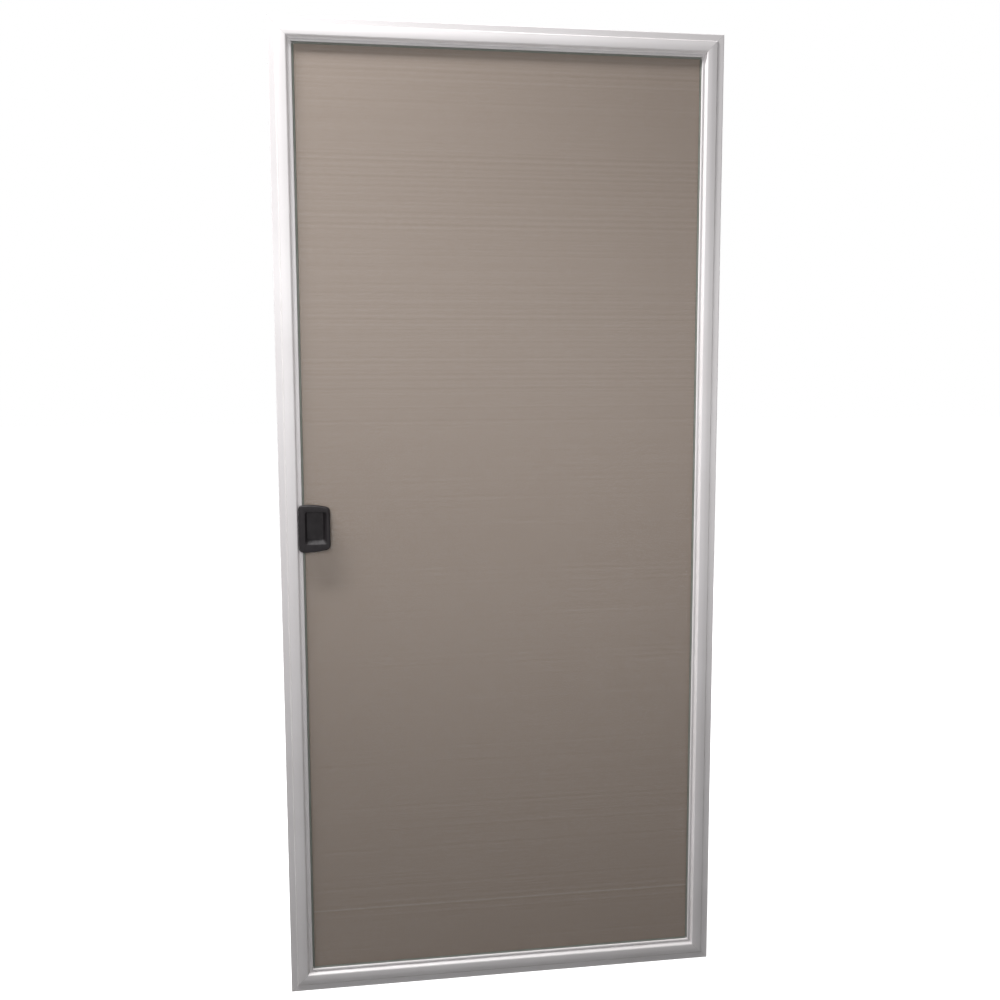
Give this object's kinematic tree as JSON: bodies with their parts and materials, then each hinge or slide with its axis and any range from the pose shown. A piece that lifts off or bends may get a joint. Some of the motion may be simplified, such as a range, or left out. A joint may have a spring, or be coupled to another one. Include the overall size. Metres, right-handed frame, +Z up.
{
  "type": "sliding patio screen door leaf",
  "caption": "Tall white framed sliding insect screen door leaf with mitred hollow moulded frame, woven mesh held by spline, a black moulded cup pull and corner rollers.",
  "frame": {"origin": "middle of the bottom rail's underside, at mid thickness", "axes": "+X across the leaf away from the pull stile, +Y through the leaf from the outside to the inside, +Z up"},
  "size_m": [0.9164, 0.0344, 2.0066],
  "materials": {
    "frame_paint": "satin white baked enamel on aluminium",
    "screen_mesh": "woven glass-fibre insect screen, grey-brown",
    "spline_vinyl": "matte grey-green vinyl cord",
    "pull_plastic": "black moulded plastic, fine satin texture",
    "key_plastic": "black moulded nylon",
    "wheel_nylon": "off-white nylon",
    "zinc_steel": "bright zinc plate",
    "bumper_rubber": "matte black"
  },
  "bodies": {
    "root": {"bottom_rail": "frame_paint", "top_rail": "frame_paint", "pull_stile": "frame_paint", "far_stile": "frame_paint", "insect_screen": "screen_mesh", "bottom_spline": "spline_vinyl", "top_spline": "spline_vinyl", "pull_side_spline": "spline_vinyl", "far_side_spline": "spline_vinyl", "outside_pull": "pull_plastic", "inside_pull": "pull_plastic", "latch_lever": "pull_plastic", "latch_hook": "zinc_steel", "pull_screws": "zinc_steel", "edge_bumper": "bumper_rubber", "lower_pull_side_corner_key": "key_plastic", "lower_pull_side_wheel": "wheel_nylon", "lower_pull_side_axle": "zinc_steel", "lower_pull_side_adjuster_screw": "zinc_steel", "lower_far_side_corner_key": "key_plastic", "lower_far_side_wheel": "wheel_nylon", "lower_far_side_axle": "zinc_steel", "lower_far_side_adjuster_screw": "zinc_steel", "upper_pull_side_corner_key": "key_plastic", "upper_pull_side_wheel": "wheel_nylon", "upper_pull_side_axle": "zinc_steel", "upper_pull_side_adjuster_screw": "zinc_steel", "upper_far_side_corner_key": "key_plastic", "upper_far_side_wheel": "wheel_nylon", "upper_far_side_axle": "zinc_steel", "upper_far_side_adjuster_screw": "zinc_steel"}
  },
  "joints": []
}
